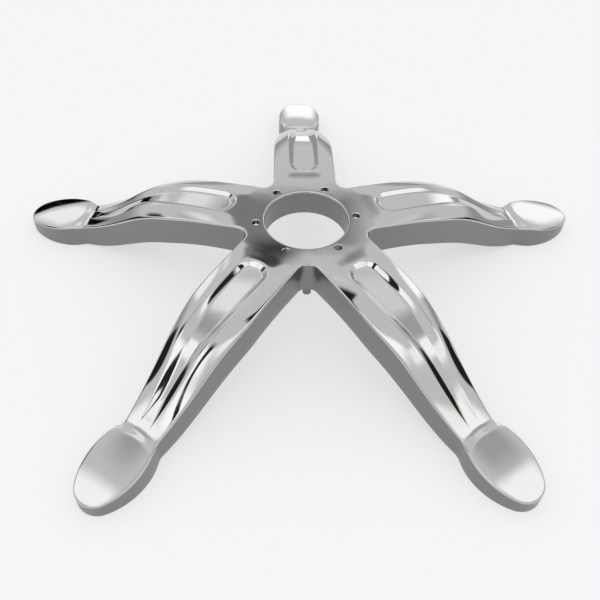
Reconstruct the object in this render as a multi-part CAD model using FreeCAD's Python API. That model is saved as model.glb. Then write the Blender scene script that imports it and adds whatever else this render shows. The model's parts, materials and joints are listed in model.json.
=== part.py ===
"""Five star base of an office chair: one polished casting with hub, fluted arms and caster pads."""
import FreeCAD, Part
import math
import os

Vector = FreeCAD.Vector

# Overall sizes, in millimetres. The origin is the centre of the hub's top face, with +Z up.
ARM_COUNT = 5
FIRST_ARM_ANGLE = 90.0
OVERALL_RADIUS = 350.0
BASE_HEIGHT = 101.0

# Hub: a flat plate with a deep collar round the bore, and bolt holes just outside the collar
BORE_DIAMETER = 90.0
BORE_RIM_BEVEL = 1.5
COLLAR_WALL = 4.5
COLLAR_DEPTH = 31.0
HUB_PLATE = 6.0
HUB_SKIRT = 37.0
BOLT_CIRCLE = 108.0
BOLT_COUNT = 6
BOLT_HOLE_DIAMETER = 8.4
BOLT_ARM = 3

# Arm in plan: parallel from the hub to the shoulder, then tapered to the neck
ARM_WIDTH = 70.8
SHOULDER_RADIUS = 147.0
SHOULDER_ROUND = 180.0
NECK_WIDTH = 40.0
NECK_ROUND = 14.0
CROTCH_ROUND = 11.5

# Pad at the end of each arm: an oval with a tilted and slightly domed top
PAD_LENGTH = 93.0
PAD_WIDTH = 57.4
PAD_HEIGHT = 26.0
PAD_TILT = 10.3
PAD_DOME = 2.5
NECK_INSET = 18.0
NECK_BLEND = 16.0

# Side curves of the arm: each leaves the hub's flat almost level and runs down to the neck
HUB_LEDGE = 4.75
CURVE_EASE = 22.0
CREASE_HUB_RUN = 148.0
CREASE_HUB_FALL = 8.5
CREASE_NECK_RUN = 93.0
CREASE_NECK_RISE = 35.4
CREST_HUB_RUN = 155.0
CREST_HUB_LIFT = 4.0
CREST_NECK_RUN = 85.0
CREST_NECK_RISE = 36.0
CREST_NECK_HEIGHT = 1.2
NECK_DIP = 3.3
SLOPE_BOW = 0.4
FOOT_HUB_RUN = 140.0
FOOT_PAD_RUN = 88.0
FOOT_RUNOUT = 21.0

# Flute in the arm's top: round at the hub end, narrowing and rising to the crests before the pad
FLUTE_START = 81.0
FLUTE_TIP_GAP = 12.0
FLUTE_WIDTH = 36.0
FLUTE_FLOOR_WIDTH = 23.0
FLUTE_DEPTH = 5.0
FLUTE_TIP_WIDTH = 14.0
FLUTE_TIP_FLOOR_WIDTH = 4.0
FLUTE_TIP_DEPTH = 2.5
FLUTE_TIP_LIFT = 1.5
FLUTE_RUNOUT = 22.0
FLUTE_BOW = 0.4
CREST_BEVEL_START = 0.7
CREST_BEVEL_END = 1.9
CREST_BEVEL_RISE = 0.2

# Casting walls and the ribs on the open underside
SKIRT_WALL = 4.5
ROOF_WALL = 6.0
RIB_THICKNESS = 3.0
RIB_RECESS = 5.0
RIB_PITCH = 60.0
RIB_COUNT = 3

# Caster socket in each pad, and the small lug under each crotch
SOCKET_DIAMETER = 11.0
SOCKET_DEPTH = 22.0
BOSS_DIAMETER = 24.0
LUG_DIAMETER = 9.0
LUG_DROP = 8.5

# Room that a cutting shape reaches past the casting
MARGIN = 3.0
REACH = 60.0

ARM_STEP = 360.0 / ARM_COUNT
HALF_STEP = math.radians(ARM_STEP / 2)
ARM_HALF = ARM_WIDTH / 2
NECK_HALF = NECK_WIDTH / 2
PAD_RADIUS = OVERALL_RADIUS - PAD_LENGTH / 2
NECK_RADIUS = OVERALL_RADIUS - PAD_LENGTH + NECK_INSET
CROTCH_RADIUS = ARM_HALF / math.sin(HALF_STEP) + CROTCH_ROUND * (1 / math.sin(HALF_STEP) - 1)
CURVE_START = CROTCH_RADIUS * math.cos(HALF_STEP) + HUB_LEDGE
PAD_RIM = PAD_HEIGHT - BASE_HEIGHT
PAD_SLOPE = math.tan(math.radians(PAD_TILT))
NECK_RIM = PAD_RIM + PAD_SLOPE * (PAD_RADIUS - NECK_RADIUS) - NECK_DIP
FLUTE_ROUND_CENTRE = FLUTE_START + FLUTE_WIDTH / 2
FLUTE_END = NECK_RADIUS - FLUTE_TIP_GAP
FLOOR = -BASE_HEIGHT - REACH

# Poles of the side curves, as distance from the axis and height
CREASE = (
    (CURVE_START, 0.0),
    (CURVE_START + CREASE_HUB_RUN, -CREASE_HUB_FALL),
    (NECK_RADIUS - CREASE_NECK_RUN, NECK_RIM + CREASE_NECK_RISE),
    (NECK_RADIUS, NECK_RIM),
)
CREST = (
    (CURVE_START, 0.0),
    (CURVE_START + CREST_HUB_RUN, CREST_HUB_LIFT),
    (NECK_RADIUS - CREST_NECK_RUN, NECK_RIM + CREST_NECK_HEIGHT + CREST_NECK_RISE),
    (NECK_RADIUS, NECK_RIM + CREST_NECK_HEIGHT),
)
FOOT = (
    (CURVE_START, -HUB_SKIRT),
    (CURVE_START + FOOT_HUB_RUN, -HUB_SKIRT),
    (NECK_RADIUS + FOOT_RUNOUT - FOOT_PAD_RUN, -BASE_HEIGHT),
    (NECK_RADIUS + FOOT_RUNOUT, -BASE_HEIGHT),
)
CEILING = (
    (CURVE_START, -HUB_PLATE),
    (CURVE_START + CREASE_HUB_RUN, -CREASE_HUB_FALL - ROOF_WALL),
    (NECK_RADIUS - CREASE_NECK_RUN, NECK_RIM + CREASE_NECK_RISE - ROOF_WALL),
    (NECK_RADIUS, NECK_RIM - ROOF_WALL),
)


def smooth_step(share):
    """Eases from 0 to 1 as the share goes from 0 to 1."""
    share = min(1.0, max(0.0, share))
    return share * share * (3 - 2 * share)


def spread(first, last, count):
    """Evenly spaced values from first to last."""
    return [first + (last - first) * index / (count - 1) for index in range(count)]


def cubic(values, share):
    """Point of a cubic curve along one axis."""
    rest = 1 - share
    a, b, c, d = values
    return a * rest ** 3 + 3 * b * share * rest ** 2 + 3 * c * share ** 2 * rest + d * share ** 3


def curve_height(poles, radius):
    """Height of a side curve at a radius, carried on straight past its end."""
    radii = [pole[0] for pole in poles]
    heights = [pole[1] for pole in poles]
    if radius >= radii[3]:
        slope = (heights[3] - heights[2]) / (radii[3] - radii[2])
        return heights[3] + slope * (radius - radii[3])
    low, high = 0.0, 1.0
    for _ in range(40):
        middle = (low + high) / 2
        if cubic(radii, middle) < radius:
            low = middle
        else:
            high = middle
    return cubic(heights, low)


def hub_ease(x):
    """Share of the arm's own form, from 0 on the flat hub to 1 a little way out."""
    return smooth_step((x - CURVE_START - MARGIN) / CURVE_EASE)


def arm_half_width(x):
    """Half of the arm's width in plan at a distance along it."""
    taper = (ARM_HALF - NECK_HALF) / (NECK_RADIUS - SHOULDER_RADIUS)
    return ARM_HALF - taper * max(0.0, x - SHOULDER_RADIUS)


def flute_share(x):
    """How much of the flute is left: 1 up to the shoulder, 0 from its tip on."""
    share = (FLUTE_END - x) / (FLUTE_END - SHOULDER_RADIUS)
    return min(1.0, max(0.0, share))


def flute_half_width(x):
    """Half of the distance between the two crests beside the flute."""
    share = flute_share(x)
    bowed = share * (1 + FLUTE_BOW - FLUTE_BOW * share)
    return (FLUTE_TIP_WIDTH + (FLUTE_WIDTH - FLUTE_TIP_WIDTH) * bowed) / 2


def flute_depth(x):
    """Depth of the flute below the crests."""
    return FLUTE_TIP_DEPTH + (FLUTE_DEPTH - FLUTE_TIP_DEPTH) * flute_share(x)


def arm_top(x, side):
    """Height of the arm's top without its flute: level between the crests, sloping to the crease."""
    crest = curve_height(CREST, x)
    crest_half = flute_half_width(x)
    reach = max(0.0, side - crest_half) / (arm_half_width(x) - crest_half)
    fall = (crest - curve_height(CREASE, x)) * reach * (1 - SLOPE_BOW + SLOPE_BOW * reach)
    return (crest - fall) * hub_ease(x)


def pad_top(x, side):
    """Height of the pad's tilted and domed top."""
    along = (x - PAD_RADIUS) / (PAD_LENGTH / 2)
    across = side / (PAD_WIDTH / 2)
    return PAD_RIM - PAD_SLOPE * (x - PAD_RADIUS) + PAD_DOME * (1 - along ** 2 - across ** 2)


def top_height(x, side):
    """Height of the casting's top, with the arm eased into the pad at the neck."""
    share = smooth_step((x - NECK_RADIUS) / NECK_BLEND + 0.5)
    return arm_top(x, side) * (1 - share) + pad_top(x, side) * share


def top_stations():
    """Distances along the arm of its top's sections, closer at the hub and at the neck."""
    neck_in = NECK_RADIUS - NECK_BLEND / 2
    neck_out = NECK_RADIUS + NECK_BLEND / 2
    hub_out = CURVE_START + MARGIN + CURVE_EASE
    stations = [CURVE_START] + spread(CURVE_START + MARGIN, hub_out, 3)
    stations += spread(hub_out, neck_in, 6)[1:]
    stations += spread(neck_in, neck_out, 3)[1:]
    return stations + spread(neck_out, OVERALL_RADIUS + MARGIN, 3)[1:]


def closed_section(x, half):
    """Closed outline across the arm from its right half, carried up past the hub's top."""
    right = half + [(half[-1][0], REACH)]
    points = [(-y, z) for y, z in reversed(right)] + right
    corners = [Vector(x, y, z) for y, z in points]
    return Part.makePolygon(corners + corners[:1])


def top_section(x):
    """Points across the arm's top, from edge to edge by way of the two crests."""
    crest = flute_half_width(x)
    edge = max(arm_half_width(x), PAD_WIDTH / 2) + MARGIN
    half = [crest, (crest + edge) / 2, edge]
    offsets = [-side for side in reversed(half)] + half
    return [Vector(x, y, top_height(x, abs(y))) for y in offsets]


def strip(near, far):
    """Face between two rows of poles, smooth along them and straight across."""
    count = len(near)
    poles = [[a, b] for a, b in zip(near, far)]
    repeats = [4] + [1] * (count - 4) + [4]
    surface = Part.BSplineSurface()
    surface.buildFromPolesMultsKnots(
        poles, repeats, [2, 2], list(range(count - 2)), [0, 1], False, False, 3, 1)
    return surface.toShape()


def above_arm_top():
    """Everything above one arm's top, as one raised strip for each facet of its sections."""
    lines = list(zip(*[top_section(x) for x in top_stations()]))
    up = Vector(0, 0, BASE_HEIGHT + REACH)
    return [strip(near, far).extrude(up) for near, far in zip(lines, lines[1:])]


def flute_half_section(x):
    """Right half of the flute's section: edge of the floor, foot of the crest's bevel, past the crest."""
    crest = curve_height(CREST, x) * hub_ease(x)
    depth = flute_depth(x)
    floor = (FLUTE_TIP_FLOOR_WIDTH + (FLUTE_FLOOR_WIDTH - FLUTE_TIP_FLOOR_WIDTH) * flute_share(x)) / 2
    wall = flute_half_width(x) - floor
    rise = depth * CREST_BEVEL_RISE
    return [
        (floor, crest - depth),
        (floor + wall * CREST_BEVEL_START, crest - rise),
        (floor + wall * CREST_BEVEL_END, crest + rise),
    ]


def flute_ramp():
    """Block under the flute's outer end, whose sloping top brings the floor up out of the arm's top."""
    inner = FLUTE_END - FLUTE_RUNOUT
    low = Vector(inner, -FLUTE_WIDTH, curve_height(CREST, inner) - flute_depth(inner))
    high = Vector(FLUTE_END, -FLUTE_WIDTH, curve_height(CREST, FLUTE_END) + FLUTE_TIP_LIFT)
    ahead = (high - low) * (2 * MARGIN / FLUTE_RUNOUT)
    top = [low - ahead, high + ahead]
    foot = [Vector(point.x, point.y, FLOOR) for point in reversed(top)]
    outline = Part.makePolygon(top + foot + top[:1])
    return Part.Face(outline).extrude(Vector(0, 2 * FLUTE_WIDTH, 0))


def flute_cutters():
    """One arm's flute: a turned round end at the hub, and a loft that narrows towards the pad."""
    half = flute_half_section(FLUTE_ROUND_CENTRE)
    outline = [(0, half[0][1])] + half + [(half[-1][0], REACH), (0, REACH)]
    corners = [Vector(FLUTE_ROUND_CENTRE, y, z) for y, z in outline]
    axis = Vector(FLUTE_ROUND_CENTRE, 0, 0)
    round_end = Part.Face(Part.makePolygon(corners + corners[:1])).revolve(axis, Vector(0, 0, 1), 180)
    stations = spread(FLUTE_ROUND_CENTRE, FLUTE_END + MARGIN, 9)
    run = Part.makeLoft([closed_section(x, flute_half_section(x)) for x in stations], True)
    return [round_end, run.cut(flute_ramp())]


def at_arms(shapes):
    """Copies of the shapes for every arm, turned from +X."""
    copies = []
    for index in range(ARM_COUNT):
        for shape in shapes:
            copy = shape.copy()
            copy.rotate(Vector(0, 0, 0), Vector(0, 0, 1), FIRST_ARM_ANGLE + index * ARM_STEP)
            copies.append(copy)
    return copies


def hub_block(low, high):
    """Upright block over the hub, with one flat side towards each arm's curves."""
    outer = CURVE_START / math.cos(HALF_STEP)
    corners = []
    for index in range(ARM_COUNT):
        angle = math.radians(FIRST_ARM_ANGLE + (index + 0.5) * ARM_STEP)
        corners.append(Vector(outer * math.cos(angle), outer * math.sin(angle), low))
    return Part.Face(Part.makePolygon(corners + corners[:1])).extrude(Vector(0, 0, high - low))


def below_curve(poles, end_radius, end_height):
    """Blocks under the hub and every arm, below a side curve and a last straight line."""
    curve = Part.BezierCurve()
    curve.setPoles([Vector(radius, -ARM_HALF - MARGIN, height) for radius, height in poles])
    start, last = curve.getPole(1), curve.getPole(4)
    path = [last] + [Vector(end_radius, last.y, height) for height in (end_height, FLOOR)]
    path += [Vector(start.x, start.y, FLOOR), start]
    edges = [curve.toShape()] + [Part.makeLine(a, b) for a, b in zip(path, path[1:])]
    arm = Part.Face(Part.Wire(edges)).extrude(Vector(0, ARM_WIDTH + 2 * MARGIN, 0))
    return [hub_block(FLOOR, poles[0][1])] + at_arms([arm])


def upright_edges(shape, radius_low, radius_high):
    """Upright edges whose distance from the axis lies in a range."""
    chosen = []
    for edge in shape.Edges:
        first = edge.Vertexes[0].Point
        last = edge.Vertexes[-1].Point
        upright = math.hypot(last.x - first.x, last.y - first.y) < 1e-6 and first.z != last.z
        if upright and radius_low < math.hypot(first.x, first.y) < radius_high:
            chosen.append(edge)
    return chosen


def pad_oval(inset, level):
    """The pad's outline as an oval of four arcs, moved in by a wall."""
    a, b = PAD_LENGTH / 2, PAD_WIDTH / 2
    diagonal = math.hypot(a, b)
    end_radius = diagonal * (diagonal - a + b) / (2 * a)
    side_radius = diagonal * (diagonal + a - b) / (2 * b)
    turn = math.atan2(side_radius - b, a - end_radius)
    meet_x = a - end_radius + (end_radius - inset) * math.cos(turn)
    meet_y = (end_radius - inset) * math.sin(turn)
    middle = [(a - inset, 0), (0, b - inset), (inset - a, 0), (0, inset - b)]
    ends = [(meet_x, -meet_y), (meet_x, meet_y), (-meet_x, meet_y), (-meet_x, -meet_y)]
    place = Vector(PAD_RADIUS, 0, level)
    arcs = []
    for index in range(4):
        points = [ends[index], middle[index], ends[(index + 1) % 4]]
        arcs.append(Part.Arc(*[place + Vector(x, y, 0) for x, y in points]).toShape())
    return Part.Face(Part.Wire(arcs))


def arm_side(half, neck, level, hand):
    """One side of the arm in plan, hand 1 or -1: round the shoulder, tapered to the neck, into the pad."""
    turn = math.atan2(half - neck, NECK_RADIUS - SHOULDER_RADIUS)
    run = SHOULDER_ROUND * math.tan(turn / 2)
    sink = SHOULDER_ROUND * (1 - math.cos(turn / 2))
    points = [
        (0, half),
        (SHOULDER_RADIUS - run, half),
        (SHOULDER_RADIUS - run + SHOULDER_ROUND * math.sin(turn / 2), half - sink),
        (SHOULDER_RADIUS + run * math.cos(turn), half - run * math.sin(turn)),
        (NECK_RADIUS, neck),
        (PAD_RADIUS, neck),
    ]
    start, near, middle, far, end, pad = [Vector(x, hand * y, level) for x, y in points]
    shoulder = Part.Arc(near, middle, far).toShape()
    lines = [Part.makeLine(*pair) for pair in ((start, near), (far, end), (end, pad))]
    return lines[:1] + [shoulder] + lines[1:]


def star_prism(inset, low, high):
    """The star's outline, moved in by a wall, as an upright block with rounded corners."""
    height = Vector(0, 0, high - low)
    half = ARM_HALF - inset
    neck = NECK_HALF - inset
    edges = arm_side(half, neck, low, 1) + arm_side(half, neck, low, -1)
    for x, y in ((0, half), (PAD_RADIUS, neck)):
        edges.append(Part.makeLine(Vector(x, y, low), Vector(x, -y, low)))
    arm = Part.Face(Part.Wire(Part.__sortEdges__(edges))).extrude(height)
    pad = pad_oval(inset, low).extrude(height)
    arms = at_arms([arm.fuse(pad).removeSplitter()])
    star = arms[0].multiFuse(arms[1:]).removeSplitter()
    corner = half / math.sin(HALF_STEP)
    pad_start = OVERALL_RADIUS - PAD_LENGTH
    star = star.makeFillet(CROTCH_ROUND + inset, upright_edges(star, corner - 1, corner + 1))
    return star.makeFillet(NECK_ROUND + inset, upright_edges(star, pad_start, PAD_RADIUS - 1))


def upright(diameter, x, low, high):
    """Upright cylinder on an arm's axis."""
    return Part.makeCylinder(diameter / 2, high - low, Vector(x, 0, low))


def ribs(foot):
    """Cross ribs of every arm and pad, ending a little above the foot of the skirts."""
    places = [PAD_RADIUS] + [NECK_RADIUS - RIB_PITCH * index for index in range(RIB_COUNT)]
    shapes = []
    for x in places:
        corner = Vector(x - RIB_THICKNESS / 2, -ARM_HALF, FLOOR)
        shapes.append(Part.makeBox(RIB_THICKNESS, ARM_WIDTH, -FLOOR, corner))
    raised = [block.translated(Vector(0, 0, RIB_RECESS)) for block in foot]
    return [shape.cut(raised) for shape in at_arms(shapes)]


def cavity(foot):
    """The hollow under the casting, with the collar, ribs, bosses and walls left standing."""
    pad_end = PAD_RIM - ROOF_WALL - PAD_SLOPE * (OVERALL_RADIUS - PAD_RADIUS)
    blocks = below_curve(CEILING, OVERALL_RADIUS, pad_end)
    hollow = star_prism(SKIRT_WALL, FLOOR + MARGIN, 0).common(blocks[0].multiFuse(blocks[1:]))
    collar = upright(BORE_DIAMETER + 2 * COLLAR_WALL, 0, -COLLAR_DEPTH, MARGIN)
    bosses = at_arms([upright(BOSS_DIAMETER, PAD_RADIUS, FLOOR, MARGIN)])
    return hollow.cut([collar] + bosses + ribs(foot))


def lugs():
    """Small round lugs under the skirt, one in each crotch between two arms."""
    place = CROTCH_RADIUS - LUG_DIAMETER / 2
    lug = upright(LUG_DIAMETER, place, -HUB_SKIRT - LUG_DROP, -HUB_PLATE / 2)
    lug.rotate(Vector(0, 0, 0), Vector(0, 0, 1), ARM_STEP / 2)
    return at_arms([lug])


def holes():
    """The bore, the ring of bolt holes turned to line up with one arm, and the caster sockets."""
    shapes = [upright(BORE_DIAMETER, 0, -BASE_HEIGHT, MARGIN)]
    for index in range(BOLT_COUNT):
        hole = upright(BOLT_HOLE_DIAMETER, BOLT_CIRCLE / 2, -HUB_PLATE - MARGIN, MARGIN)
        turn = FIRST_ARM_ANGLE + BOLT_ARM * ARM_STEP + index * 360 / BOLT_COUNT
        hole.rotate(Vector(0, 0, 0), Vector(0, 0, 1), turn)
        shapes.append(hole)
    socket = upright(SOCKET_DIAMETER, PAD_RADIUS, -BASE_HEIGHT - MARGIN, SOCKET_DEPTH - BASE_HEIGHT)
    return shapes + at_arms([socket])


def bore_rim(body):
    """Upper edge of the bore."""
    return [
        edge for edge in body.Edges
        if isinstance(edge.Curve, Part.Circle)
        and abs(edge.Curve.Radius - BORE_DIAMETER / 2) < 1e-6
        and abs(edge.Curve.Center.z) < 1e-6
    ]


def star_base():
    """The whole casting."""
    body = star_prism(0, FLOOR + MARGIN, MARGIN)
    body = body.cut([hub_block(0, REACH)] + at_arms(above_arm_top()))
    body = body.cut(at_arms(flute_cutters()))
    foot = below_curve(FOOT, OVERALL_RADIUS + MARGIN, -BASE_HEIGHT)
    body = body.cut(foot + [cavity(foot)])
    body = body.fuse(lugs()).cut(holes())
    return body.makeChamfer(BORE_RIM_BEVEL, bore_rim(body))


os.makedirs("parts", exist_ok=True)
star_base().exportStep("parts/star_base.step")
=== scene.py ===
"""Looks of an office chair five star base: one polished casting on a pale studio floor."""

from __future__ import annotations

import json
import logging
import math
from dataclasses import dataclass, field
from enum import IntEnum

import bmesh
import bpy
from mathutils import Matrix, Quaternion, Vector

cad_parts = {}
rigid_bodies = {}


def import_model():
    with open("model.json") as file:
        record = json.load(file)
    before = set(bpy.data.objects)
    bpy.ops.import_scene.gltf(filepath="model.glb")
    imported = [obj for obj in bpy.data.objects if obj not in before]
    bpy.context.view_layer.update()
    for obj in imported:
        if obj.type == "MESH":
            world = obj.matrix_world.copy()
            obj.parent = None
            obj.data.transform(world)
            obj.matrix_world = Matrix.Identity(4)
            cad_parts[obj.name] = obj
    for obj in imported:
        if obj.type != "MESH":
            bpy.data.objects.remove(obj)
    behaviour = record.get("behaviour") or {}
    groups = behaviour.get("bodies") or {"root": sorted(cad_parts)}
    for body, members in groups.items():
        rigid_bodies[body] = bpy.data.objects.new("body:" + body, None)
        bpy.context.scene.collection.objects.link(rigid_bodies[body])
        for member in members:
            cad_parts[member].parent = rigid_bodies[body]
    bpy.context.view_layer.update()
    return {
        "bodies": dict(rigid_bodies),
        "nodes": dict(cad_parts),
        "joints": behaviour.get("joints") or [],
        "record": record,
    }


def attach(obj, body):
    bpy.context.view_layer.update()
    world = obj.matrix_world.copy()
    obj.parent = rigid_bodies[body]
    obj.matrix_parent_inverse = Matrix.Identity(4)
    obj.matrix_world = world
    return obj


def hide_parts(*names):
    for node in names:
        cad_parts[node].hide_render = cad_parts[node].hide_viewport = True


logging.basicConfig(level=logging.INFO, format="%(message)s")
LOG = logging.getLogger("star_base")

MM = 0.001
ARM_COUNT = 5
FIRST_ARM_ANGLE = 90.0
ARM_STEP = 360.0 / ARM_COUNT
HALF_STEP = math.radians(ARM_STEP / 2)

# How finely the skin is drawn: steps round each edge, wall, round and hole.
EDGE_STEPS = 6
SKIRT_STEPS = 4
FOOT_STEPS = 2
WALL_STEPS = 3
CEILING_STEPS = 4
FAN_STEPS = 36
CROTCH_STEPS = 24
RIM_STEPS = 6
BORE_STEPS = 96
HOLE_STEPS = 24
BOSS_STEPS = 40
LUG_STEPS = 32
CURVE_HALVINGS = 40
MERGE_MM = 0.002
SMOOTH_ANGLE = math.radians(40)


class Zone(IntEnum):
    """Which finish a face takes, as the index of its material slot."""

    POLISHED = 0
    # Sides, bore wall and hole walls: a rougher finish whose darker colour is painted shade.
    SATIN_PAINTED_SHADE = 1
    CAST = 2


def ease(share: float) -> float:
    """Eases from 0 to 1 without a step in slope or in curvature.

    Args:
        share: place between the start, 0, and the end, 1.

    Returns:
        The eased share.
    """
    t = min(1.0, max(0.0, share))
    return t * t * t * (t * (6.0 * t - 15.0) + 10.0)


def slope_between(share: float, rounding: float) -> float:
    """Rises from 0 to 1 along a straight slope with rounded ends.

    Args:
        share: place between the start, 0, and the end, 1.
        rounding: share of the way that each rounded end takes.

    Returns:
        The risen share.
    """
    t = min(1.0, max(0.0, share))
    if t < rounding:
        return t * t / (2 * rounding * (1 - rounding))
    if t > 1 - rounding:
        return 1 - (1 - t) ** 2 / (2 * rounding * (1 - rounding))
    return (t - rounding / 2) / (1 - rounding)


def soft_max(value: float, floor: float, width: float) -> float:
    """Larger of two values, with the change from one to the other rounded off.

    Args:
        value: first value.
        floor: second value.
        width: how far apart they are where the rounding fades out.

    Returns:
        The rounded larger value.
    """
    gap = value - floor
    return floor + (gap + math.sqrt(gap * gap + width * width)) / 2.0


def soft_min(first: float, second: float) -> float:
    """Smaller of two depths, with the change from one to the other rounded off.

    Args:
        first: first depth, not below 0.
        second: second depth, not below 0.

    Returns:
        The rounded smaller depth.
    """
    if max(first, second) == 0.0:
        return 0.0
    return first * second / (first ** 4 + second ** 4) ** 0.25


def spread(first: float, last: float, count: int) -> list[float]:
    """Evenly spaced values.

    Args:
        first: first value.
        last: last value.
        count: how many steps lie between them.

    Returns:
        The values, both ends included.
    """
    return [first + (last - first) * index / count for index in range(count + 1)]


def through(start: float, stops: list[tuple[float, int]]) -> list[float]:
    """Values from a start through a run of stops, evenly spaced from one stop to the next.

    Args:
        start: first value.
        stops: each stop with the number of steps that lead to it.

    Returns:
        The values, the start and all stops included.
    """
    values = [start]
    for stop, steps in stops:
        values += spread(start, stop, steps)[1:]
        start = stop
    return values


def bend(start: Vector, corner: Vector, end: Vector, count: int) -> list[Vector]:
    """Rounds a corner with a quadratic curve.

    Args:
        start: where the rounding starts.
        corner: the sharp corner.
        end: where the rounding ends.
        count: number of steps.

    Returns:
        Points after the start, up to the end.
    """
    points = []
    for t in spread(0.0, 1.0, count)[1:]:
        points.append(start * (1 - t) ** 2 + corner * 2 * t * (1 - t) + end * t * t)
    return points


@dataclass(frozen=True)
class SideCurve:
    """Cubic curve of height over distance from the axis, in millimetres."""

    poles: tuple[tuple[float, float], ...]

    def _at(self, axis: int, t: float) -> float:
        """One coordinate of the curve.

        Args:
            axis: 0 for the distance, 1 for the height.
            t: parameter from 0 to 1.

        Returns:
            The coordinate.
        """
        a, b, c, d = (pole[axis] for pole in self.poles)
        rest = 1 - t
        return a * rest ** 3 + 3 * b * t * rest ** 2 + 3 * c * t ** 2 * rest + d * t ** 3

    def height(self, x: float) -> float:
        """Height at a distance, carried on straight past the curve's end.

        Args:
            x: distance from the axis.

        Returns:
            The height.
        """
        (_, _, near, last) = self.poles
        if x >= last[0]:
            return last[1] + (last[1] - near[1]) / (last[0] - near[0]) * (x - last[0])
        low, high = 0.0, 1.0
        for _ in range(CURVE_HALVINGS):
            middle = (low + high) / 2
            if self._at(0, middle) < x:
                low = middle
            else:
                high = middle
        return self._at(1, low)


@dataclass(frozen=True)
class Pad:
    """Oval pad at the end of an arm, in millimetres, with its tilt in degrees."""

    centre: float = 303.5
    length: float = 93.0
    width: float = 57.4
    rim: float = -75.0
    foot: float = -101.0
    tilt: float = 10.3
    dome: float = 2.5

    @property
    def end_radius(self) -> float:
        """Radius of the oval's end arcs.

        Returns:
            The radius.
        """
        a, b = self.length / 2, self.width / 2
        diagonal = math.hypot(a, b)
        return diagonal * (diagonal - a + b) / (2 * a)

    @property
    def side_radius(self) -> float:
        """Radius of the oval's side arcs.

        Returns:
            The radius.
        """
        a, b = self.length / 2, self.width / 2
        diagonal = math.hypot(a, b)
        return diagonal * (diagonal + a - b) / (2 * b)

    def reach(self, angle: float) -> float:
        """Distance from the pad's centre to its rim.

        Args:
            angle: direction in radians, 0 pointing out along the arm.

        Returns:
            The distance.
        """
        across, along = abs(math.sin(angle)), abs(math.cos(angle))
        end_shift = self.length / 2 - self.end_radius
        side_shift = self.side_radius - self.width / 2
        if across * end_shift <= along * side_shift * self._meet_share():
            return end_shift * along + math.sqrt(self.end_radius ** 2 - (end_shift * across) ** 2)
        return -side_shift * across + math.sqrt(self.side_radius ** 2 - (side_shift * along) ** 2)

    def _meet_share(self) -> float:
        """Slope of the ray to the point where the arcs meet, against that of the line of centres.

        Returns:
            The first slope divided by the second.
        """
        end_shift = self.length / 2 - self.end_radius
        side_shift = self.side_radius - self.width / 2
        turn = math.atan2(side_shift, end_shift)
        meet_x = end_shift + self.end_radius * math.cos(turn)
        meet_y = self.end_radius * math.sin(turn)
        return (meet_y / meet_x) * end_shift / side_shift

    def top(self, x: float, y: float) -> float:
        """Height of the tilted and domed top.

        Args:
            x: distance along the arm.
            y: distance from the arm's middle.

        Returns:
            The height.
        """
        along = (x - self.centre) / (self.length / 2)
        across = y / (self.width / 2)
        dome = self.dome * (1 - along ** 2 - across ** 2)
        return self.rim - math.tan(math.radians(self.tilt)) * (x - self.centre) + dome


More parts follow.
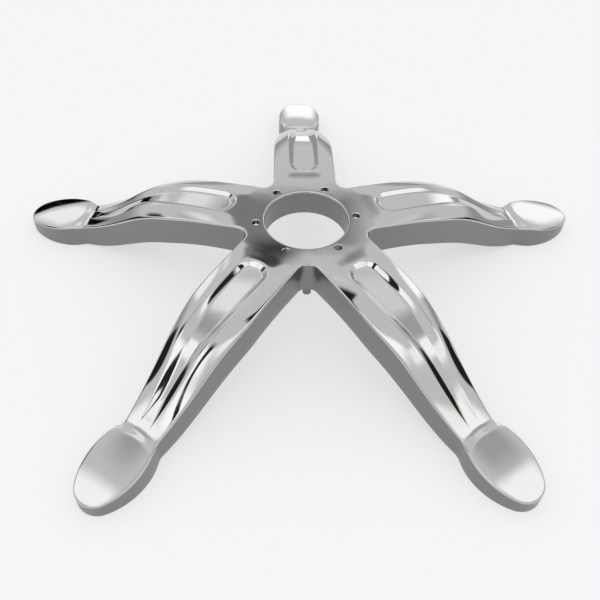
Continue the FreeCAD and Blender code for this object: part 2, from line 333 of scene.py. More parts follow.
@dataclass(frozen=True)
class Arm:
    """One arm, drawn along +X, in millimetres apart from the shares."""

    half: float = 35.4
    neck_half: float = 20.0
    crotch_round: float = 11.5
    shoulder: float = 147.0
    shoulder_round: float = 180.0
    neck: float = 275.0
    neck_round: float = 14.0
    neck_blend: float = 18.0
    neck_curve: float = 3.0
    ease_start: float = 63.0
    ease_length: float = 24.0
    crest_round: float = 3.0
    flute_start: float = 81.0
    flute_end: float = 263.0
    flute_width: float = 36.0
    flute_floor: float = 23.0
    flute_depth: float = 5.0
    tip_width: float = 14.0
    tip_floor: float = 1.0
    tip_depth: float = 4.2
    runout: float = 22.0
    runout_round: float = 0.8
    wall: float = 4.5
    roof_wall: float = 6.0
    edge_round: float = 2.0
    edge_strip: float = 0.8
    foot_round: float = 1.0
    # How far the closely spaced sections reach before and after the flute's start and the neck.
    fine_before: float = 1.0
    fine_after: float = 23.0
    neck_before: float = 19.0
    neck_after: float = 15.0
    # Shares of a width, a height or the flute's run.
    slope_bow: float = 0.4
    flute_bow: float = 0.4
    wall_spread: float = 0.06
    wall_round: float = 0.2
    narrowing_round: float = 0.1
    tip_round: float = 0.02
    least_crest: float = 0.3
    least_floor: float = 0.45
    crest_strip: float = 0.1
    pad: Pad = field(default_factory=Pad)
    crest: SideCurve = SideCurve(((60, 0), (215, 4), (190, -35.9), (275, -71.9)))
    crease: SideCurve = SideCurve(((60, 0), (208, -8.5), (182, -37.7), (275, -73.1)))
    foot: SideCurve = SideCurve(((60, -37), (200, -37), (208, -101), (296, -101)))
    ceiling: SideCurve = SideCurve(((60, -6), (208, -14.5), (182, -43.7), (275, -79.1)))

    @property
    def start(self) -> float:
        """Distance at which the round of the crotch runs into the arm's straight side.

        Returns:
            The distance.
        """
        return (self.half + self.crotch_round) / math.tan(HALF_STEP)

    def half_width(self, x: float) -> float:
        """Half of the arm's width in plan, with the shoulder and the neck rounded.

        Args:
            x: distance along the arm.

        Returns:
            The half width.
        """
        pad = self.pad
        slope = (self.half - self.neck_half) / (self.neck - self.shoulder)
        angle = math.atan(slope)
        run = self.shoulder_round * math.tan(angle / 2)
        line = self.half - slope * (x - self.shoulder)
        drop = pad.side_radius - pad.width / 2
        far = pad.side_radius + self.neck_round
        lift = self.half + slope * self.shoulder + self.neck_round / math.cos(angle)
        a = 1 + slope ** 2
        b = pad.centre + slope * (lift + drop)
        c = pad.centre ** 2 + (lift + drop) ** 2 - far ** 2
        centre_x = (b - math.sqrt(b * b - a * c)) / a
        centre_y = lift - slope * centre_x
        leave = centre_x - self.neck_round * math.sin(angle)
        join = centre_x + self.neck_round * (pad.centre - centre_x) / far
        if x < self.shoulder - run:
            return self.half
        if x < self.shoulder + run * math.cos(angle):
            along = x - self.shoulder + run
            return self.half - self.shoulder_round + math.sqrt(self.shoulder_round ** 2 - along ** 2)
        if x < leave:
            return line
        if x < join:
            return centre_y - math.sqrt(self.neck_round ** 2 - (x - centre_x) ** 2)
        return math.sqrt(pad.side_radius ** 2 - (x - pad.centre) ** 2) - drop

    def flute_left(self, x: float) -> float:
        """How much of the flute is left: 1 up to the shoulder, 0 from its tip on.

        Args:
            x: distance along the arm.

        Returns:
            The share, rounded off at both ends.
        """
        share = (self.flute_end - x) / (self.flute_end - self.shoulder)
        return soft_max(-soft_max(-share, -1.0, self.narrowing_round), 0.0, self.tip_round)

    def flute_halves(self, x: float) -> tuple[float, float]:
        """Half widths of the flute between its crests and on its floor.

        Args:
            x: distance along the arm.

        Returns:
            Crest half width and floor half width.
        """
        share = self.flute_left(x)
        bowed = share * (1 + self.flute_bow - self.flute_bow * share)
        crest = self.tip_width + (self.flute_width - self.tip_width) * bowed
        floor = self.tip_floor + (self.flute_floor - self.tip_floor) * share ** 2
        return crest / 2, floor / 2

    def flute_drop(self, x: float, side: float) -> float:
        """Depth of the flute below the crests.

        Args:
            x: distance along the arm.
            side: distance from the arm's middle.

        Returns:
            The depth, 0 outside the flute.
        """
        centre = self.flute_start + self.flute_width / 2
        crest, floor = self.flute_halves(x)
        extra = self.wall_spread * (crest - floor)
        outer, inner = crest + extra, floor - extra
        place = math.hypot(x - centre, side) if x < centre else side
        depth = self.tip_depth + (self.flute_depth - self.tip_depth) * self.flute_left(x)
        ramp = soft_max(depth * (self.flute_end - x) / self.runout, 0.0, self.runout_round)
        return soft_min(depth * slope_between((outer - place) / (outer - inner), self.wall_round), ramp)

    def top(self, x: float, side: float, crest: float, crease: float) -> float:
        """Height of the arm's top.

        Args:
            x: distance along the arm.
            side: distance from the arm's middle.
            crest: height of the crests there.
            crease: height of the sharp edge to the skirt there.

        Returns:
            The height.
        """
        flat = self.flute_halves(x)[0]
        width = self.half_width(min(x, self.neck)) - flat
        reach = soft_max(side - flat, 0.0, self.crest_round) / width
        fall = (crest - crease) * reach * (1 - self.slope_bow + self.slope_bow * reach)
        level = (crest - fall) * ease((x - self.ease_start) / self.ease_length)
        arm = level - self.flute_drop(x, side)
        border = self.neck - self.neck_curve + self.neck_curve * (side / self.neck_half) ** 2
        share = ease((x - border) / self.neck_blend + 0.5)
        return arm * (1 - share) + self.pad.top(x, side) * share

    def columns(self, x: float) -> list[float]:
        """Distances from the arm's middle at which its top is drawn, out to its rounded edge.

        Args:
            x: distance along the arm.

        Returns:
            The distances, from 0 outwards.
        """
        edge = self.half_width(x)
        crest, floor = self.flute_halves(x)
        crest = max(crest, self.least_crest * edge)
        floor = max(floor, self.least_floor * crest)
        beside = crest + self.crest_strip * edge
        strip = edge - self.edge_round - self.edge_strip
        return through(0.0, [(floor, 8), (crest, 8), (beside, 5), (strip, 8)]) + [edge - self.edge_round]

    def below_edge(self, edge: Vector, lead: Vector, out: Vector, foot: float, roof: float) -> list[Vector]:
        """Points from the rounded edge down the skirt, round its foot and up to the ceiling.

        Args:
            edge: the sharp corner between the top and the skirt.
            lead: last point of the top before the rounded edge.
            out: level unit vector pointing out of the skirt.
            foot: height of the skirt's foot.
            roof: height of the ceiling inside.

        Returns:
            The points in order.
        """
        up = Vector((0, 0, 1))
        level = Vector((edge.x, edge.y, 0))
        lower = edge - up * self.edge_round
        points = bend(lead, edge, lower, EDGE_STEPS)
        corner = level + up * foot
        above = corner + up * self.foot_round
        points += [lower.lerp(above, t) for t in spread(0.0, 1.0, SKIRT_STEPS)[1:]]
        points += bend(above, corner, corner - out * self.foot_round, FOOT_STEPS)
        inner = level - out * self.wall
        return points + [inner + up * height for height in spread(foot, roof, WALL_STEPS)]

    def row(self, x: float) -> list[Vector]:
        """Half of one cross section, from the middle of the top round to the middle of the ceiling.

        Args:
            x: distance along the arm.

        Returns:
            The points in order.
        """
        crest, crease = self.crest.height(x), self.crease.height(x)
        foot = self.foot.height(x) if x < self.foot.poles[3][0] else self.pad.foot
        roof = self.ceiling.height(x) if x < self.neck else self.pad_ceiling(x)
        points = [Vector((x, y, self.top(x, y, crest, crease))) for y in self.columns(x)]
        half = self.half_width(x)
        edge = Vector((x, half, self.top(x, half, crest, crease)))
        points += self.below_edge(edge, points[-1], Vector((0, 1, 0)), foot, roof)
        inner = points[-1].y
        return points + [Vector((x, inner * t, roof)) for t in spread(1.0, 0.0, CEILING_STEPS)[1:]]

    def pad_ceiling(self, x: float) -> float:
        """Height of the ceiling under the pad.

        Args:
            x: distance along the arm.

        Returns:
            The height.
        """
        pad = self.pad
        near = self.ceiling.poles[3]
        end = pad.rim - self.roof_wall - math.tan(math.radians(pad.tilt)) * pad.length / 2
        return near[1] + (end - near[1]) * (x - near[0]) / (pad.centre + pad.length / 2 - near[0])

    def fan(self, angle: float) -> list[Vector]:
        """Half of a section through the pad's outer half, from its middle out to the rim and back.

        Args:
            angle: direction from the pad's centre, in radians, 0 pointing out along the arm.

        Returns:
            The points in order.
        """
        pad = self.pad
        out = Vector((math.cos(angle), math.sin(angle), 0))
        middle = Vector((pad.centre, 0, 0))
        reach = pad.reach(angle)
        shares = [side / pad.width * 2 for side in self.columns(pad.centre)[:-2]]
        sides = [share * reach for share in shares]
        sides += [reach - self.edge_round - self.edge_strip, reach - self.edge_round]
        points = []
        for side in sides:
            spot = middle + out * side
            points.append(Vector((spot.x, spot.y, pad.top(spot.x, spot.y))))
        rim = middle + out * reach
        edge = Vector((rim.x, rim.y, pad.top(rim.x, rim.y)))
        inner = middle + out * (reach - self.wall)
        points += self.below_edge(edge, points[-1], out, pad.foot, self.pad_ceiling(inner.x))
        for t in spread(1.0, 0.0, CEILING_STEPS)[1:]:
            spot = middle + out * ((reach - self.wall) * t)
            points.append(Vector((spot.x, spot.y, self.pad_ceiling(spot.x))))
        return points

    def stations(self) -> list[float]:
        """Distances along the arm of its cross sections, closer at the flute's start and the neck.

        Returns:
            The distances.
        """
        stops = [
            (self.flute_start - self.fine_before, 8),
            (self.flute_start + self.fine_after, 30),
            (self.neck - self.neck_before, 62),
            (self.neck + self.neck_after, 26),
            (self.pad.centre, 5),
        ]
        return through(self.start, stops)


@dataclass(frozen=True)
class Hub:
    """Flat hub plate with its collar and bolt holes: radii and depths in millimetres, angles in degrees."""

    bore: float = 45.0
    rim_round: float = 2.0
    collar: float = 49.5
    collar_depth: float = 31.0
    collar_bevel: float = 0.8
    bolt_circle: float = 54.0
    bolt_count: int = 6
    bolt_hole: float = 4.2
    bolt_first: float = 306.0
    hole_round: float = 0.5
    support: float = 0.8


def ring(radius: float, height: float, count: int, centre: Vector) -> list[Vector]:
    """Points of a level circle.

    Args:
        radius: radius in millimetres.
        height: height above the centre in millimetres.
        count: number of points.
        centre: centre in millimetres.

    Returns:
        The points in order.
    """
    points = []
    for index in range(count):
        angle = 2 * math.pi * index / count
        points.append(centre + Vector((radius * math.cos(angle), radius * math.sin(angle), height)))
    return points


class Shell:
    """Collects the points and faces of a surface until they become one mesh."""

    def __init__(self, name: str) -> None:
        """Starts an empty surface.

        Args:
            name: name of the object to make.
        """
        self.name = name
        self.mesh = bmesh.new()

    def grid(self, rows: list[list[Vector]], zones: list[Zone]) -> None:
        """Adds faces between rows of points.

        Args:
            rows: rows of equal length, in millimetres.
            zones: finish of each step along a row.
        """
        made = [[self.mesh.verts.new(point * MM) for point in row] for row in rows]
        for near, far in zip(made, made[1:]):
            for index, zone in enumerate(zones):
                corners = (near[index], near[index + 1], far[index + 1], far[index])
                self.mesh.faces.new(corners).material_index = zone

    def tube(self, circles: list[tuple[float, float]], count: int, centre: Vector, zones: list[Zone]) -> None:
        """Adds a turned surface made of level circles.

        Args:
            circles: radius and height of each circle.
            count: points on a circle.
            centre: point that the radii and heights count from.
            zones: finish of each step from one circle to the next.
        """
        rings = [ring(radius, height, count, centre) for radius, height in circles]
        columns = [list(points) for points in zip(*rings)]
        self.grid(columns + columns[:1], zones)

    def fill(self, loops: list[list[Vector]], zone: Zone) -> None:
        """Fills a flat outline with holes.

        Args:
            loops: the outline and the holes, each a closed run of points.
            zone: finish of the faces.
        """
        edges = []
        for loop in loops:
            made = [self.mesh.verts.new(point * MM) for point in loop]
            edges += [self.mesh.edges.new(pair) for pair in zip(made, made[1:] + made[:1])]
        done = bmesh.ops.triangle_fill(self.mesh, use_beauty=True, use_dissolve=False, edges=edges)
        for face in done["geom"]:
            if isinstance(face, bmesh.types.BMFace):
                face.material_index = zone

    def finish(self, materials: list[bpy.types.Material]) -> bpy.types.Object:
        """Joins the points that meet and turns the surface into an object.

        Args:
            materials: materials in the order of the zones.

        Returns:
            The new object.
        """
        bmesh.ops.remove_doubles(self.mesh, verts=self.mesh.verts, dist=MERGE_MM * MM)
        bmesh.ops.recalc_face_normals(self.mesh, faces=self.mesh.faces)
        open_edges = sum(1 for edge in self.mesh.edges if not edge.is_manifold)
        data = bpy.data.meshes.new(self.name)
        self.mesh.to_mesh(data)
        self.mesh.free()
        for material in materials:
            data.materials.append(material)
        piece = bpy.data.objects.new(self.name, data)
        bpy.context.scene.collection.objects.link(piece)
        LOG.info("%s: %d faces, %d open edges", self.name, len(data.polygons), open_edges)
        return piece


def turned(points: list[Vector], degrees: float, mirror: bool = False) -> list[Vector]:
    """Copies points round the hub's axis.

    Args:
        points: points of the arm along +X.
        degrees: angle to turn them by.
        mirror: whether they are first mirrored across the arm's middle.

    Returns:
        The copies.
    """
    turn = Matrix.Rotation(math.radians(degrees), 3, "Z")
    if mirror:
        points = [Vector((point.x, -point.y, point.z)) for point in points]
    return [turn @ point for point in points]


@dataclass
class Casting:
    """The whole casting: hub, arms and pads as one closed skin."""

    arm: Arm
    hub: Hub

    def build(self, materials: list[bpy.types.Material]) -> bpy.types.Object:
        """Makes the casting.

        Args:
            materials: materials in the order of the zones.

        Returns:
            The casting's object.
        """
        shell = Shell("casting")
        rows = [self.arm.row(x) for x in self.arm.stations()]
        fans = [self.arm.fan(math.radians(angle)) for angle in spread(90.0, 0.0, FAN_STEPS)]
        top = len(self.arm.columns(self.arm.start)) - 1
        zones = [Zone.POLISHED] * (top + EDGE_STEPS) + [Zone.SATIN_PAINTED_SHADE] * (SKIRT_STEPS + FOOT_STEPS)
        zones += [Zone.CAST] * (len(rows[0]) - 1 - len(zones))
        for index in range(ARM_COUNT):
            angle = FIRST_ARM_ANGLE + index * ARM_STEP
            for mirror in (False, True):
                shell.grid([turned(row, angle, mirror) for row in rows], zones)
                shell.grid([turned(row, angle, mirror) for row in fans], zones)
            shell.grid([turned(row, angle) for row in self.crotch()], zones[top - 1:-CEILING_STEPS])
        self.add_hub(shell, rows[0], top)
        piece = shell.finish(materials)
        bpy.ops.object.select_all(action="DESELECT")
        bpy.context.view_layer.objects.active = piece
        piece.select_set(True)
        bpy.ops.object.shade_smooth_by_angle(angle=SMOOTH_ANGLE)
        return piece

    def crotch(self) -> list[list[Vector]]:
        """Sections of the skirt along the round between one arm and the next.

        Returns:
            Rows from the arm's side to the next arm's side.
        """
        arm = self.arm
        centre = Vector((arm.start, arm.half + arm.crotch_round, 0))
        first = arm.row(arm.start)
        foot = min(point.z for point in first)
        roof = first[-1].z
        rows = []
        for angle in spread(-90.0, -90.0 - (180.0 - ARM_STEP), CROTCH_STEPS):
            out = -Vector((math.cos(math.radians(angle)), math.sin(math.radians(angle)), 0))
            edge = centre - out * arm.crotch_round
            lead = edge - out * arm.edge_round
            row = [lead - out * arm.edge_strip, lead]
            rows.append(row + arm.below_edge(edge, lead, out, foot, roof))
        return rows

    def bolt_places(self) -> list[Vector]:
        """Centres of the bolt holes in the hub's top.

        Returns:
            The centres.
        """
        hub = self.hub
        step = 360.0 / hub.bolt_count
        spot = [Vector((hub.bolt_circle, 0, 0))]
        return [turned(spot, hub.bolt_first + index * step)[0] for index in range(hub.bolt_count)]

    def outline(self, first: list[Vector], row: list[int], crotch: list[Vector]) -> list[Vector]:
        """Closed outline of the hub: the first sections of the arms, joined by the rounds of the crotches.

        Args:
            first: half of the arm's first section.
            row: indices of the section's points on this outline, from the middle outwards.
            crotch: points of the round after the arm's left side.

        Returns:
            The points in order.
        """
        half = [first[index] for index in row]
        points = []
        for index in range(ARM_COUNT):
            angle = FIRST_ARM_ANGLE + index * ARM_STEP
            points += turned(half[:0:-1], angle, mirror=True)
            points += turned(half, angle)
            points += turned(crotch[1:-1], angle)
        return points

    def add_hub(self, shell: Shell, first: list[Vector], top: int) -> None:
        """Adds the hub's plate, bore, collar and bolt holes to the skin.

        Args:
            shell: the skin so far.
            first: half of the arm's first section.
            top: index of the last point of the top before the rounded edge.
        """
        hub = self.hub
        axis = Vector((0, 0, 0))
        crotch = self.crotch()
        roof = first[-1].z
        ceiling_rows = list(range(len(first) - 1, len(first) - CEILING_STEPS - 2, -1))
        outer = self.outline(first, list(range(top)), [row[0] for row in crotch])
        inner = self.outline(first, ceiling_rows, [row[-1] for row in crotch])
        rim = hub.bore + hub.rim_round
        hole = hub.bolt_hole + hub.hole_round
        upper = [ring(rim + hub.support, 0, BORE_STEPS, axis)]
        lower = [ring(hub.collar, roof, BORE_STEPS, axis)]
        for place in self.bolt_places():
            upper.append(ring(hole + hub.support, 0, HOLE_STEPS, place))
            lower.append(ring(hub.bolt_hole, roof, HOLE_STEPS, place))
            mouth = [(hole + hub.support, 0.0), (hole, 0.0), (hub.bolt_hole, -hub.hole_round)]
            zones = [Zone.POLISHED] * (len(mouth) - 1) + [Zone.SATIN_PAINTED_SHADE]
            shell.tube(mouth + [(hub.bolt_hole, roof)], HOLE_STEPS, place, zones)
        shell.fill([outer] + upper, Zone.POLISHED)
        shell.fill([inner] + lower, Zone.CAST)
        foot = -hub.collar_depth
        bevel = hub.collar_bevel
        corners = Vector((rim, 0)), Vector((hub.bore, 0)), Vector((hub.bore, -hub.rim_round))
        lip = [(rim + hub.support, 0.0), (rim, 0.0)] + [tuple(point) for point in bend(*corners, RIM_STEPS)]
        bore = [(hub.bore, foot / 2), (hub.bore, foot + bevel)]
        collar = [(hub.bore + bevel, foot), (hub.collar - bevel, foot)]
        collar += [(hub.collar, foot + bevel), (hub.collar, roof)]
        zones = [Zone.POLISHED] * (len(lip) - 1) + [Zone.SATIN_PAINTED_SHADE] * len(bore) + [Zone.CAST] * len(collar)
        shell.tube(lip + bore + collar, BORE_STEPS, axis, zones)


def srgb(code: str) -> tuple[float, float, float, float]:
    """Turns a colour written as in a paint chart into Blender's linear colour.

    Args:
        code: six hexadecimal digits after a hash sign.

    Returns:
        Linear red, green and blue, and an alpha of 1.
    """
    parts = [int(code[index:index + 2], 16) / 255 for index in (1, 3, 5)]
    linear = [part / 12.92 if part <= 0.04045 else ((part + 0.055) / 1.055) ** 2.4 for part in parts]
    return (linear[0], linear[1], linear[2], 1.0)


def add_node(tree: bpy.types.NodeTree, kind: str, **values: object) -> bpy.types.Node:
    """Adds a shader node, and sets its options and the constant values of its inputs.

    Args:
        tree: node tree to add it to.
        kind: node type, without the leading ShaderNode.
        values: option or input name to value, with underscores for the spaces of an input's name.

    Returns:
        The node.
    """
    node = tree.nodes.new(f"ShaderNode{kind}")
    for key, value in values.items():
        if hasattr(node, key):
            setattr(node, key, value)
        else:
            node.inputs[key.replace("_", " ")].default_value = value
    return node


@dataclass(frozen=True)
class Finish:
    """A metal finish: colour, range of roughness, and the size and depth of its unevenness in millimetres."""

    name: str
    colour: str
    roughness: tuple[float, float]
    grain_mm: float
    wave_mm: float
    wave_depth: float

    def build(self) -> bpy.types.Material:
        """Makes the material.

        Returns:
            The material.
        """
        material = bpy.data.materials.new(self.name)
        material.use_nodes = True
        tree, links = material.node_tree, material.node_tree.links
        shader = tree.nodes["Principled BSDF"]
        shader.inputs["Base Color"].default_value = srgb(self.colour)
        shader.inputs["Metallic"].default_value = 1.0
        place = add_node(tree, "TexCoord")
        grain = add_node(tree, "TexNoise", Scale=1 / (self.grain_mm * MM), Detail=3.0)
        level = add_node(tree, "MapRange", To_Min=self.roughness[0], To_Max=self.roughness[1])
        wave = add_node(tree, "TexNoise", Scale=1 / (self.wave_mm * MM), Detail=1.0)
        bump = add_node(tree, "Bump", Strength=1.0, Distance=self.wave_depth * MM)
        links.new(place.outputs["Object"], grain.inputs["Vector"])
        links.new(place.outputs["Object"], wave.inputs["Vector"])
        links.new(grain.outputs[0], level.inputs["Value"])
        links.new(level.outputs["Result"], shader.inputs["Roughness"])
        links.new(wave.outputs[0], bump.inputs["Height"])
        links.new(bump.outputs["Normal"], shader.inputs["Normal"])
        return material


POLISHED = Finish("polished_metal", "#C8C8C6", (0.03, 0.08), 6.0, 30.0, 0.10)
# The sides' colour is darker than the polished metal. That darkness is painted shade for the dim surroundings
# they mirror, on top of a rougher satin finish.
SATIN_PAINTED_SHADE = Finish("satin_side_painted_shade", "#888886", (0.28, 0.38), 2.0, 8.0, 0.03)
CAST = Finish("cast_underside", "#8A8A88", (0.5, 0.65), 1.2, 3.0, 0.08)


@dataclass
class Underside:
    """Ribs, caster bosses and lugs on the open underside, in millimetres, round forms by their radius."""

    arm: Arm
    rib_thickness: float = 3.0
    rib_recess: float = 5.0
    rib_pitch: float = 60.0
    rib_count: int = 3
    rib_root: float = 1.5
    rib_bite: float = 1.0
    boss: float = 12.0
    boss_bevel: float = 0.6
    socket: float = 5.5
    socket_depth: float = 22.0
    socket_cover: float = 2.0
    lug: float = 4.5
    lug_head: float = -33.0
    lug_foot: float = -45.5

    def ribs(self, material: bpy.types.Material) -> bpy.types.Object:
        """Makes the cross ribs of every arm and pad.

        Args:
            material: their finish.

        Returns:
            The ribs as one object.
        """
        arm = self.arm
        bars = []
        places = [arm.pad.centre] + [arm.neck - self.rib_pitch * index for index in range(self.rib_count)]
        for index in range(ARM_COUNT):
            turn = math.radians(FIRST_ARM_ANGLE + index * ARM_STEP)
            for x in places:
                low = max(arm.foot.height(x), arm.pad.foot) + self.rib_recess
                high = (arm.ceiling.height(x) if x < arm.neck else arm.pad_ceiling(x)) + self.rib_root
                width = 2 * (arm.half_width(x) - arm.wall + self.rib_bite)
                bpy.ops.mesh.primitive_cube_add(size=1)
                bar = bpy.context.active_object
                size = Matrix.Diagonal((self.rib_thickness * MM, width * MM, (high - low) * MM, 1))
                move = Matrix.Translation((x * MM, 0, (low + high) / 2 * MM))
                bar.data.transform(Matrix.Rotation(turn, 4, "Z") @ move @ size)
                bars.append(bar)
        return joined(bars, "ribs", material)

    def bosses(self, material: bpy.types.Material) -> bpy.types.Object:
        """Makes the bosses with their blind caster sockets.

        Args:
            material: their finish.

        Returns:
            The bosses as one object.
        """
        pad = self.arm.pad
        bevel = self.boss_bevel
        top = self.socket_depth + self.socket_cover
        circles = [(0.0, self.socket_depth), (self.socket, self.socket_depth)]
        circles += [(self.socket, bevel), (self.socket + bevel, 0.0)]
        circles += [(self.boss - bevel, 0.0), (self.boss, bevel), (self.boss, top), (0.0, top)]
        # The joined piece has one material, so every face takes the first slot.
        zones = [Zone(0)] * (len(circles) - 1)
        made = []
        for index in range(ARM_COUNT):
            spot = turned([Vector((pad.centre, 0, pad.foot))], FIRST_ARM_ANGLE + index * ARM_STEP)[0]
            shell = Shell("boss")
            shell.tube(circles, BOSS_STEPS, spot, zones)
            made.append(shell.finish([]))
        return joined(made, "caster_bosses", material)

    def lugs(self, material: bpy.types.Material) -> bpy.types.Object:
        """Makes the small round lugs under the crotches.

        Args:
            material: their finish.

        Returns:
            The lugs as one object.
        """
        arm = self.arm
        sine = math.sin(HALF_STEP)
        radius = arm.half / sine + arm.crotch_round * (1 / sine - 1) - self.lug
        height = self.lug_head - self.lug_foot
        middle = Vector((radius, 0, self.lug_foot + height / 2))
        made = []
        for index in range(ARM_COUNT):
            spot = turned([middle], FIRST_ARM_ANGLE + (index + 0.5) * ARM_STEP)[0]
            bpy.ops.mesh.primitive_cylinder_add(vertices=LUG_STEPS, radius=self.lug * MM, depth=height * MM)
            lug = bpy.context.active_object
            lug.data.transform(Matrix.Translation(spot * MM))
            made.append(lug)
        return joined(made, "crotch_lugs", material)


def joined(parts: list[bpy.types.Object], name: str, material: bpy.types.Material) -> bpy.types.Object:
    """Joins objects into one and gives it a finish.

    Args:
        parts: objects to join.
        name: name of the result.
        material: its finish.

    Returns:
        The joined object.
    """
    bpy.ops.object.select_all(action="DESELECT")
    for part in parts:
        part.select_set(True)
    bpy.context.view_layer.objects.active = parts[0]
    bpy.ops.object.join()
    piece = bpy.context.active_object
    piece.name = name
    piece.data.materials.clear()
    piece.data.materials.append(material)
    bpy.ops.object.shade_smooth_by_angle(angle=SMOOTH_ANGLE)
    LOG.info("%s: %d faces", name, len(piece.data.polygons))
    return piece


@dataclass(frozen=True)
class Viewpoint:
    """Where the photo was taken from, in millimetres and degrees."""

    sensor: float = 36.0
    lens: float = 42.31
    nearest: float = 10.0
    elevation: float = 48.27
    turn: float = 2.70
    roll: float = 1.98
    right_shift: float = 6.77
    up_shift: float = 87.0
    distance: float = 755.5

    def build(self) -> bpy.types.Object:
        """Makes the camera.

        Returns:
            The camera's object.
        """
        rise, roll = math.radians(self.elevation), math.radians(self.roll)
        back = Vector((0, -math.cos(rise), math.sin(rise)))
        level = Vector((1, 0, 0))
        upright = back.cross(level)
        right = level * math.cos(roll) + upright * math.sin(roll)
        up = upright * math.cos(roll) - level * math.sin(roll)
        place = back * self.distance - right * self.right_shift - up * self.up_shift
        frame = Matrix((right, up, back)).transposed().to_4x4()
        turn = Matrix.Rotation(math.radians(-self.turn), 4, "Z")
        data = bpy.data.cameras.new("camera")
        data.sensor_width = self.sensor
        data.lens = self.lens
        data.clip_start = self.nearest * MM
        camera = bpy.data.objects.new("camera", data)
        camera.matrix_world = turn @ Matrix.Translation(place * MM) @ frame
        bpy.context.scene.collection.objects.link(camera)
        bpy.context.scene.camera = camera
        return camera


# Cards nearer than this many metres show only in the metal: they neither light nor shade the floor.
FAR = 2.0


@dataclass(frozen=True)
class Card:
    """A soft box or a dark card, placed as seen from a spot of the object.

    The spot is in millimetres, the distance in metres, and the angles, half sizes and roll are in degrees.
    The azimuth counts from +Y towards +X. The outer soft share of each half size fades out.
    """

    name: str
    spot: tuple[float, float, float]
    azimuth: float
    elevation: float
    half_width: float
    half_height: float
    strength: float
    soft: float = 0.6
    distance: float = 3.0
    roll: float = 0.0

    def build(self) -> bpy.types.Object:
        """Makes the card, facing the object and fading out towards its edges.

        Returns:
            The card's object.
        """
        turn, rise = math.radians(self.azimuth), math.radians(self.elevation)
        out = Vector((math.sin(turn) * math.cos(rise), math.cos(turn) * math.cos(rise), math.sin(rise)))
        # A plane of size 2 has half sizes of 1, which the scale below stretches.
        bpy.ops.mesh.primitive_plane_add(size=2)
        card = bpy.context.active_object
        card.name = self.name
        card.rotation_mode = "QUATERNION"
        tilt = Quaternion((0, 0, 1), math.radians(self.roll))
        card.rotation_quaternion = out.to_track_quat("Z", "Y") @ tilt
        card.location = Vector(self.spot) * MM + out * self.distance
        wide = self.distance * math.tan(math.radians(self.half_width))
        tall = self.distance * math.tan(math.radians(self.half_height))
        card.scale = (wide, tall, 1)
        card.visible_camera = False
        card.visible_diffuse = card.visible_shadow = self.distance >= FAR
        card.data.materials.append(self.material())
        return card

    def material(self) -> bpy.types.Material:
        """Makes the card's material.

        Returns:
            The material.
        """
        material = bpy.data.materials.new(self.name)
        material.use_nodes = True
        tree, links = material.node_tree, material.node_tree.links
        tree.nodes.clear()
        place = add_node(tree, "TexCoord")
        split = add_node(tree, "SeparateXYZ")
        links.new(place.outputs["Object"], split.inputs[0])
        both = add_node(tree, "Math", operation="MULTIPLY")
        for index, axis in enumerate("XY"):
            size = add_node(tree, "Math", operation="ABSOLUTE")
            fade = add_node(tree, "MapRange", interpolation_type="SMOOTHSTEP",
                            From_Min=1 - self.soft, To_Min=1.0, To_Max=0.0)
            links.new(split.outputs[axis], size.inputs[0])
            links.new(size.outputs[0], fade.inputs["Value"])
            links.new(fade.outputs["Result"], both.inputs[index])
        clear = add_node(tree, "BsdfTransparent")
        glow = add_node(tree, "Emission", Strength=self.strength)
        mix = add_node(tree, "MixShader")
        end = add_node(tree, "OutputMaterial")
        links.new(both.outputs[0], mix.inputs[0])
        links.new(clear.outputs[0], mix.inputs[1])
        links.new(glow.outputs[0], mix.inputs[2])
        links.new(mix.outputs[0], end.inputs["Surface"])
        return material


MIDDLE = (0.0, 0.0, 0.0)
FRONT_LEFT_ARM = (-115.0, -160.0, -30.0)
FRONT_RIGHT_ARM = (115.0, -160.0, -30.0)
FRONT_LEFT_PAD = (-178.0, -245.0, -75.0)
FRONT_RIGHT_PAD = (178.0, -245.0, -75.0)
LEFT_ARM = (-180.0, 58.0, -20.0)
LEFT_PAD = (-295.0, 95.0, -75.0)
RIGHT_PAD = (295.0, 95.0, -75.0)
BACK_PAD = (0.0, 303.0, -75.0)
BY_FLUTE_ROOT = (1.0, -112.0, -25.0)
BY_FLUTE_TIP = (-138.0, -258.0, -25.0)
HUB_FRONT_LEFT = (-30.0, -55.0, 0.0)

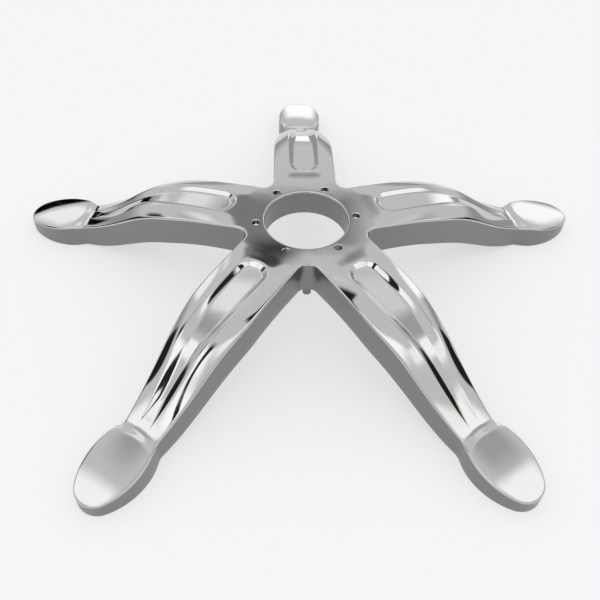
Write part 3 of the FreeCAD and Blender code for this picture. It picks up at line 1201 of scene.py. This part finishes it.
CARDS = (
    Card("box_front_left", MIDDLE, -152, 48, 26, 16, 1.6),
    Card("box_front_right", MIDDLE, 140, 50, 30, 10, 1.4),
    Card("box_pad_left", FRONT_LEFT_PAD, -91, 54, 12, 26, 1.5, 0.5, 1.0, -36),
    Card("box_pad_right", FRONT_RIGHT_PAD, 92, 54, 12, 26, 1.5, 0.5, 1.0, 38),
    Card("shade_pad_left", FRONT_LEFT_PAD, -40, 64, 16, 22, 0.55, 0.9, 0.9),
    Card("shade_pad_right", FRONT_RIGHT_PAD, 50, 60, 16, 22, 0.55, 0.7, 0.9),
    Card("box_flute_left", FRONT_LEFT_ARM, -20, 56, 18, 8, 1.25, 0.5, 1.2),
    Card("box_flute_right", FRONT_RIGHT_ARM, 26, 54, 18, 7, 1.0, 0.5, 1.2),
    Card("box_back_left", LEFT_PAD, -32, 29, 12, 11, 1.4, 0.5, 1.2),
    Card("box_back_right", RIGHT_PAD, 33, 22, 14, 14, 1.6, 0.5, 1.2),
    Card("box_back", BACK_PAD, 2, 8, 10, 10, 1.6, 0.5, 1.2),
    Card("box_left_arm", LEFT_ARM, -14, 35, 10, 7, 1.2, 0.6, 1.0),
    Card("shade_hub", MIDDLE, 0, 42, 12, 4.5, 0.3, 0.5, 1.5),
    Card("flag_hub", HUB_FRONT_LEFT, -1, 44, 5, 2.5, 0.06, 0.8, 1.0),
    Card("flag_left", FRONT_LEFT_ARM, -72, 4, 18, 10.5, 0.02, 0.3, 0.5),
    Card("flag_right", FRONT_RIGHT_ARM, 72, 3, 16, 10, 0.02, 0.3, 0.5),
    Card("flag_flute_root", BY_FLUTE_ROOT, 0, 90, 29, 8, 0.02, 0.3, 0.1, 54),
    Card("flag_flute_tip", BY_FLUTE_TIP, 0, 90, 40, 8, 0.02, 0.3, 0.1, 47.5),
    Card("flag_left_wall", LEFT_ARM, -82, 32, 10, 11, 0.02, 0.6, 0.8),
    Card("flag_left_flute", LEFT_ARM, -31, 0, 12, 7, 0.0, 0.4, 0.4),
    Card("flag_left_pad", LEFT_PAD, -36, 12, 12, 5, 0.0, 0.4, 0.3),
)


@dataclass
class Studio:
    """Pale floor under a sky that darkens towards the horizon, with the cards that the polish mirrors.

    Lengths are in millimetres. The sky fades between two heights of a unit vector that points to it.
    """

    floor_size: float = 12000.0
    floor_height: float = -101.3
    floor_colour: str = "#F7F7F7"
    floor_roughness: float = 0.9
    glow_colour: str = "#FDFDFD"
    glow_share: float = 0.6
    sky: float = 0.85
    horizon: float = 0.45
    fade_low: float = 0.08
    fade_high: float = 0.35

    def build(self) -> None:
        """Makes the stage and the light."""
        bpy.context.scene.view_settings.view_transform = "Standard"
        LOG.info("%s on the stage", self.floor().name)
        for card in CARDS:
            LOG.info("%s on the stage", card.build().name)
        bpy.context.scene.world = self.world()

    def floor(self) -> bpy.types.Object:
        """Makes the floor.

        Returns:
            The floor's object.
        """
        bpy.ops.mesh.primitive_plane_add(size=self.floor_size * MM)
        floor = bpy.context.active_object
        floor.name = "floor"
        floor.data.transform(Matrix.Translation((0, 0, self.floor_height * MM)))
        floor.data.materials.append(self.floor_material())
        return floor

    def floor_material(self) -> bpy.types.Material:
        """Makes the floor's material: it takes the shadow, and shows pale to the camera and in the polish.

        Returns:
            The material.
        """
        material = bpy.data.materials.new("floor")
        material.use_nodes = True
        tree, links = material.node_tree, material.node_tree.links
        shader = tree.nodes["Principled BSDF"]
        shader.inputs["Base Color"].default_value = srgb(self.floor_colour)
        shader.inputs["Roughness"].default_value = self.floor_roughness
        path = add_node(tree, "LightPath")
        seen = path.outputs["Is Camera Ray"]
        for kind in ("Is Glossy Ray", "Is Transmission Ray"):
            either = add_node(tree, "Math", operation="MAXIMUM")
            links.new(seen, either.inputs[0])
            links.new(path.outputs[kind], either.inputs[1])
            seen = either.outputs[0]
        share = add_node(tree, "Math", operation="MULTIPLY")
        share.inputs[1].default_value = self.glow_share
        glow = add_node(tree, "Emission", Color=srgb(self.glow_colour))
        mix = add_node(tree, "MixShader")
        links.new(seen, share.inputs[0])
        links.new(share.outputs[0], mix.inputs[0])
        links.new(shader.outputs[0], mix.inputs[1])
        links.new(glow.outputs[0], mix.inputs[2])
        links.new(mix.outputs[0], tree.nodes["Material Output"].inputs["Surface"])
        return material

    def world(self) -> bpy.types.World:
        """Makes the sky, even overhead and darker near the horizon.

        Returns:
            The world.
        """
        world = bpy.data.worlds.new("studio")
        world.use_nodes = True
        tree, links = world.node_tree, world.node_tree.links
        background = tree.nodes["Background"]
        background.inputs["Color"].default_value = srgb("#FFFFFF")
        place = add_node(tree, "TexCoord")
        split = add_node(tree, "SeparateXYZ")
        fade = add_node(tree, "MapRange", interpolation_type="SMOOTHSTEP", From_Min=self.fade_low,
                        From_Max=self.fade_high, To_Min=self.horizon, To_Max=self.sky)
        links.new(place.outputs["Generated"], split.inputs[0])
        links.new(split.outputs["Z"], fade.inputs["Value"])
        links.new(fade.outputs["Result"], background.inputs["Strength"])
        return world


def main() -> None:
    """Builds the dressed casting, the stage and the camera in order."""
    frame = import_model()
    finishes = [finish.build() for finish in (POLISHED, SATIN_PAINTED_SHADE, CAST)]
    arm = Arm()
    casting = Casting(arm, Hub()).build(finishes)
    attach(casting, "root")
    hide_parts(*frame["nodes"])
    under = Underside(arm)
    cast = finishes[Zone.CAST]
    for piece in [under.ribs(cast), under.bosses(cast), under.lugs(cast)]:
        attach(piece, "root")
    Studio().build()
    LOG.info("%s in place", Viewpoint().build().name)
    LOG.info("dressed")


if __name__ == "__main__":
    main()
